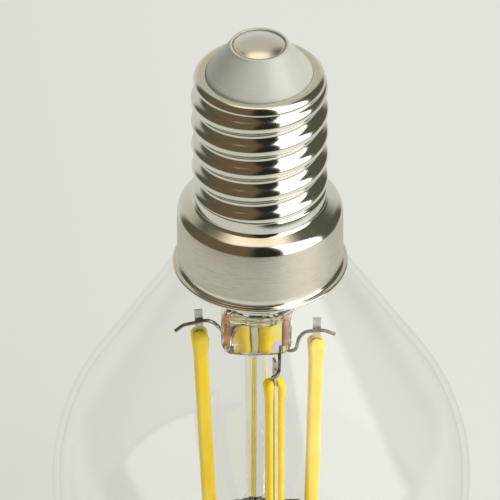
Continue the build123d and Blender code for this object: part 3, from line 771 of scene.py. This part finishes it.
def beadTree(sizes):
    tree, board, given = nodeTree("phosphorBeads", sizes)
    length = given["Length"] * mm
    line = board.node(
        "GeometryNodeCurvePrimitiveLine",
        {"mode": "POINTS"},
        {"Start": (0, 0, 0), "End": board.node("ShaderNodeCombineXYZ", {}, {2: length * -1.0})},
    )
    line = board.node("GeometryNodeResampleCurve", {}, {"Curve": line, "Count": 300})
    along = board.node("GeometryNodeSplineParameter", {}, {}, 1) / mm
    rest = given["Length"] - along
    nearTop = ((along + 0.004) / (given["Half Width"] * given["Bulge"])).math("MINIMUM", 1.0)
    nearFoot = ((rest + 0.004) / given["Half Width"]).math("MINIMUM", 1.0)
    roundTop = (1.0 - (1 - nearTop) ** 2.0).math("SQRT")
    roundFoot = (1.0 - (1 - nearFoot) ** 2.0).math("SQRT")
    swell = (1 - board.rise(along, 0.8, given["Bulge Length"])) * (given["Bulge"] - 1.0) + 1.0
    thickness = roundTop * roundFoot * swell
    facing = {"Curve": line, "Normal": (1.0, 0.0, 0.0)}
    line = board.node("GeometryNodeSetCurveNormal", {"mode": "FREE"}, facing)
    section = board.node(
        "GeometryNodeCurvePrimitiveQuadrilateral",
        {"mode": "RECTANGLE"},
        {"Width": given["Half Width"] * 2 * mm, "Height": given["Depth"] * mm},
    )
    corners = {"Curve": section, "Count": 5, "Radius": given["Corner"] * mm}
    section = board.node("GeometryNodeFilletCurve", {"mode": "POLY"}, corners)
    lift = board.node("ShaderNodeCombineXYZ", {}, {1: (given["Depth"] / 2) * mm})
    section = board.node("GeometryNodeTransform", {}, {"Geometry": section, "Translation": lift})
    bead = board.node(
        "GeometryNodeCurveToMesh",
        {},
        {"Curve": line, "Profile Curve": section, "Scale": thickness, "Fill Caps": True},
    )
    out = board.node("ShaderNodeCombineXYZ", {}, {1: given["Strip Thickness"] * (mm / -2)})
    bead = board.node("GeometryNodeTransform", {}, {"Geometry": bead, "Translation": out})
    halfTurn = {"Geometry": bead, "Rotation": (0.0, 0.0, math.pi)}
    other = board.node("GeometryNodeTransform", {}, halfTurn)
    joined = board.tree.nodes.new("GeometryNodeJoinGeometry")
    board.feed(joined, 0, other)
    board.feed(joined, 0, bead)
    both = Signal(board, joined.outputs[0])
    shaded = board.node("GeometryNodeSetShadeSmooth", {}, {"Geometry": both})
    endTree(board, shaded, finishes["phosphor"])
    return tree


def aroundAxis(radius, angle, height):
    turn = math.radians(angle)
    return Vector((radius * math.cos(turn), radius * math.sin(turn), height))


def filamentMatrix(place):
    # the strip's own frame: origin at the top of its coat, Z up along it, X outwards
    height = shellSizes["foot"] - place["drop"]
    top = aroundAxis(*place["top"], height)
    foot = aroundAxis(*place["foot"], height - filamentSizes["Length"])
    outward = aroundAxis(1, (place["top"][1] + place["foot"][1]) / 2, 0)
    axis = (top - foot).normalized()
    across = axis.cross(outward).normalized()
    ahead = across.cross(axis)
    matrix = Matrix((ahead, axis.cross(ahead), axis)).transposed().to_4x4()
    matrix.translation = top * mm
    return matrix


beads = beadTree(filamentSizes)
matrices = {name: filamentMatrix(place) for name, place in filamentPlaces.items()}
for name, matrix in matrices.items():
    pieceName = "filamentCoat" + name.title()
    mesh = grown(pieceName, bpy.data.meshes.new("seed" + name), beads, filamentSizes)
    mesh.transform(matrix)
    coats = ["filament_" + name + side for side in ("_coat_a", "_coat_b")]
    addPiece(pieceName, mesh, None, "phosphor", *coats)
print("filament beads swept")

# Hook wires: bent at the points; "start" is in the lamp's frame, "end" in the strip's own

wireSizes = {"Radius": 0.19, "Bend": 1.1, "Sides": 14}
wireRoutes = {
    "hook_wire_left": {
        "start": [(-3.51, 0, -38.65), (-3.51, 0, -40.6), (-3.7, 2.1, -39.8), (-3.95, 1.3, -38.2)],
        "strip": "left",
        "end": [
            (-1.5, 0.345, 0.95),
            (-0.75, 0.345, 1.35),
            (0.6, 0.345, 1.2),
            (1.7, 0.345, 1.1),
            (2.6, 0.345, 0.45),
        ],
    },
    "hook_wire_front": {
        "start": [(1.99, 0, -38.65), (1.99, 0, -40.95)],
        "strip": "front",
        "end": [(0.5, 0.345, 1.5), (0.95, 0.1, 1.3), (1.1, -0.6, 1.15)],
    },
    "hook_wire_right": {
        "start": [(2.61, 0, -38.65), (2.61, 0, -40.8), (3.75, 0, -39.5)],
        "strip": "right",
        "end": [(-1.9, -0.345, 0.35), (-1.3, -0.345, 1.15), (0.75, -0.345, 1.2), (1.9, -0.345, 0.6)],
    },
    "hook_wire_rear": {
        "start": [(-2.89, 0, -38.65), (-2.89, 0, -40.95), (-2.89, 2.2, -39.85)],
        "strip": "rear",
        "end": [(-1.4, 0.345, 1.2), (0.85, 0.345, 1.2), (1.6, 0.345, 0.7)],
    },
}


def wireTree(sizes):
    tree, board, given = nodeTree("bentWire", sizes)
    line = board.node("GeometryNodeMeshToCurve", {}, {0: given["Geometry"]})
    bends = {"Curve": line, "Count": 7, "Radius": given["Bend"] * mm, "Limit Radius": True}
    line = board.node("GeometryNodeFilletCurve", {"mode": "POLY"}, bends)
    ring = {"Resolution": given["Sides"], 4: given["Radius"] * mm}
    section = board.node("GeometryNodeCurvePrimitiveCircle", {}, ring)
    sweep = {"Curve": line, "Profile Curve": section, "Fill Caps": True}
    wire = board.node("GeometryNodeCurveToMesh", {}, sweep)
    shaded = board.node("GeometryNodeSetShadeSmooth", {}, {"Geometry": wire})
    endTree(board, shaded, finishes["nickel"])
    return tree


wires = wireTree(wireSizes)
for node, route in wireRoutes.items():
    points = [Vector(point) * mm for point in route["start"]]
    points += [matrices[route["strip"]] @ (Vector(point) * mm) for point in route["end"]]
    base = bpy.data.meshes.new(node + "Line")
    base.from_pydata(points, [(step, step + 1) for step in range(len(points) - 1)], [])
    pieceName = "hookWire" + node.split("_")[-1].title()
    wireMesh = grown(pieceName, base, wires, wireSizes)
    addPiece(pieceName, wireMesh, None, "nickel_wire", node)
print("hook wires bent")

# CAD nodes that keep their own mesh

nodeFinishes = {
    "contact_eyelet": "eyelet",
    "capping_cement": "cement",
    "exhaust_tube": "stem",
    "lead_in": "copper",
    "outer_lead": "copper",
    "bridge_wire": "nickel",
    "driver_board": "board",
    "bridge_rectifier": "chip",
    "driver_chip": "chip",
    "sense_resistors": "chip",
    "smoothing_capacitor": "sleeve",
    "fuse_resistor": "enamel",
    "neutral_wire": "tinned",
}
for name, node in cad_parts.items():
    finish = next((value for key, value in nodeFinishes.items() if name.startswith(key)), None)
    if name.endswith("_tab"):
        finish = "tab"
    if name.endswith("_strip"):
        finish = "strip"
    if finish:
        node.data.materials.clear()
        node.data.materials.append(finishes[finish])
print("CAD nodes dressed")

# Studio: a pale floor, a pale room with a dark side and a window, one soft lamp, the camera

# colours above 1 are lights; patches: left, right, low and high in degrees, then how soft the edge is
studio = {
    "floorHeight": -79.4,
    "floorReach": 2.5,
    "paleLeft": (0.685, 0.694, 0.632, 1),
    "paleRight": (0.745, 0.752, 0.690, 1),
    "fill": (0.605, 0.605, 0.573, 1),
    "upper": (0.56, 0.54, 0.45, 1),
    "dark": (0.02, 0.02, 0.014, 1),
    "brown": (0.15, 0.105, 0.062, 1),
    "green": (0.10, 0.10, 0.07, 1),
    "window": (2.5, 2.5, 2.4, 1),
    "glare": (0.98, 0.97, 0.90, 1),
    "overhead": (1.28, 1.13, 0.87, 1),
    "lampPower": 4.0,
    "lampPlace": (0.42, -0.22, 0.40),
    "lampWidth": 0.35,
    "lampTarget": (0, 0, -0.03),
    "floorGlow": 0.8,
    "patches": (
        ((26, 90, -75, 0, 12), "glare"),
        ((-127, 140, -22, 58, 9), "green"),
        ((-112, 118, -22, 120, 9), "green"),
        ((-22, 80, -22, 120, 9), "dark"),
        ((-96, -12, -18, 72, 9), "brown"),
        ((30, 84, -15, 76, 3), "window"),
    ),
}


def mirroredRoom(board, look, x, y, z):
    # what polished surfaces see: the turn runs from the front to the right, the height from level to the top
    turn = x.math("ARCTAN2", y * -1.0) * (180 / math.pi)
    height = z.math("ARCTAN2", (x * x + y * y).math("SQRT")) * (180 / math.pi)

    def span(value, low, high, edge):
        above = board.rise(value, low - edge, low + edge)
        return above * (1 - board.rise(value, high - edge, high + edge))

    room = board.blend(board.rise(height, 4.0, 34.0), look["paleLeft"], look["upper"])
    for (left, right, low, high, edge), colour in look["patches"]:
        patch = span(turn, left, right, edge) * span(height, low, high, edge)
        room = board.blend(patch, room, look[colour])
    aside = (x / z.math("MAXIMUM", 0.01)).math("ARCTANGENT") * (180 / math.pi)
    behind = (y / z.math("MAXIMUM", 0.01)).math("ARCTANGENT") * (180 / math.pi)
    above = span(aside, -24, 20, 8) * span(behind, -8, 15, 5)
    return board.blend(above, room, look["overhead"])


def paleWorld(look):
    world = bpy.data.worlds.new("paleRoom")
    world.use_nodes = True
    scene.world = world
    board = Board(world.node_tree)
    rays = world.node_tree.nodes.new("ShaderNodeLightPath")
    glossy = Signal(board, rays.outputs["Is Glossy Ray"])
    camera = Signal(board, rays.outputs["Is Camera Ray"])
    room = mirroredRoom(board, look, *board.axes(board.node("ShaderNodeTexCoord", out="Generated")))
    seen = board.blend(camera, board.blend(glossy, look["fill"], room), look["paleLeft"])
    board.feed(world.node_tree.nodes["Background"], "Color", seen)


def paleFloor(look):
    # polished pieces see the room's patches in the floor too, and the camera sees it partly lit from within
    finish, board, shader = newFinish("paleFloor", {"Roughness": 0.9, "Specular IOR Level": 0.0})
    x, y, z = board.axes(board.place())
    # painted light falloff: the floor's colour and glow are painted darker towards the left and brighter
    # towards the right and back
    pale = board.blend(board.rise(x + y * 0.25, -0.03, 0.035), look["paleLeft"], look["paleRight"])
    board.feed(shader, "Base Color", pale)
    glow = board.node("ShaderNodeEmission", {}, {"Color": pale, "Strength": 1.0})
    room = mirroredRoom(board, look, x, y, z)
    mirrored = board.node("ShaderNodeEmission", {}, {"Color": room, "Strength": 1.0})
    rays = finish.node_tree.nodes.new("ShaderNodeLightPath")
    camera, glossy, passing = (
        Signal(board, rays.outputs["Is " + kind + " Ray"]) for kind in ("Camera", "Glossy", "Transmission")
    )
    share = (camera + passing).math("MINIMUM", 1.0) * look["floorGlow"]
    lit = Signal(board, shader.outputs[0])
    skin = board.node("ShaderNodeMixShader", {}, {0: share, 1: lit, 2: glow})
    skin = board.node("ShaderNodeMixShader", {}, {0: glossy, 1: skin, 2: mirrored})
    board.feed(finish.node_tree.nodes["Material Output"], "Surface", skin)
    reach, height = look["floorReach"], look["floorHeight"] * mm
    mesh = bpy.data.meshes.new("paleFloor")
    corners = [(-reach, -reach), (reach, -reach), (reach, reach), (-reach, reach)]
    mesh.from_pydata([(*corner, height) for corner in corners], [], [(0, 1, 2, 3)])
    mesh.materials.append(finish)
    floor = bpy.data.objects.new("paleFloor", mesh)
    scene.collection.objects.link(floor)


def softLamp(look):
    lamp = bpy.data.lights.new("softLamp", "AREA")
    lamp.shape = "DISK"
    lamp.size = look["lampWidth"]
    lamp.energy = look["lampPower"]
    holder = bpy.data.objects.new("softLamp", lamp)
    holder.location = look["lampPlace"]
    aim = Vector(look["lampTarget"]) - Vector(look["lampPlace"])
    holder.rotation_euler = aim.to_track_quat("-Z", "Y").to_euler()
    holder.visible_glossy = False
    scene.collection.objects.link(holder)


paleWorld(studio)
paleFloor(studio)
softLamp(studio)

cameraView = {
    "distance": 500.0,
    "elevation": 35.599,
    "target": -14.7,
    "focal": 4867.1,
    "across": 260.21,
    "down": 157.79,
    "roll": -0.278,
    "frame": 500,
    "sensor": 36,
}


def aimCamera(view):
    # lengths in mm; focal, across and down in pixels of the photograph's square frame
    elevation = math.radians(view["elevation"])
    back = Vector((0, -math.cos(elevation), math.sin(elevation)))
    right = Vector((1, 0, 0))
    spot = back * view["distance"] + Vector((0, 0, view["target"]))
    up = back.cross(right)
    middle = view["frame"] / 2
    swing = Matrix.Rotation(math.atan((view["across"] - middle) / view["focal"]), 3, up)
    right, back = swing @ right, swing @ back
    tip = Matrix.Rotation(math.atan((view["down"] - middle) / view["focal"]), 3, right)
    up, back = tip @ up, tip @ back
    lean = Matrix.Rotation(math.radians(view["roll"]), 3, back)
    right, up = lean @ right, lean @ up
    lens = bpy.data.cameras.new("photoCamera")
    lens.sensor_width = view["sensor"]
    lens.lens = view["focal"] / view["frame"] * view["sensor"]
    lens.clip_start = 0.01
    lens.clip_end = 20
    camera = bpy.data.objects.new("photoCamera", lens)
    camera.matrix_world = Matrix.Translation(spot * mm) @ Matrix((right, up, back)).transposed().to_4x4()
    scene.collection.objects.link(camera)
    scene.camera = camera


aimCamera(cameraView)
print("studio and camera ready")
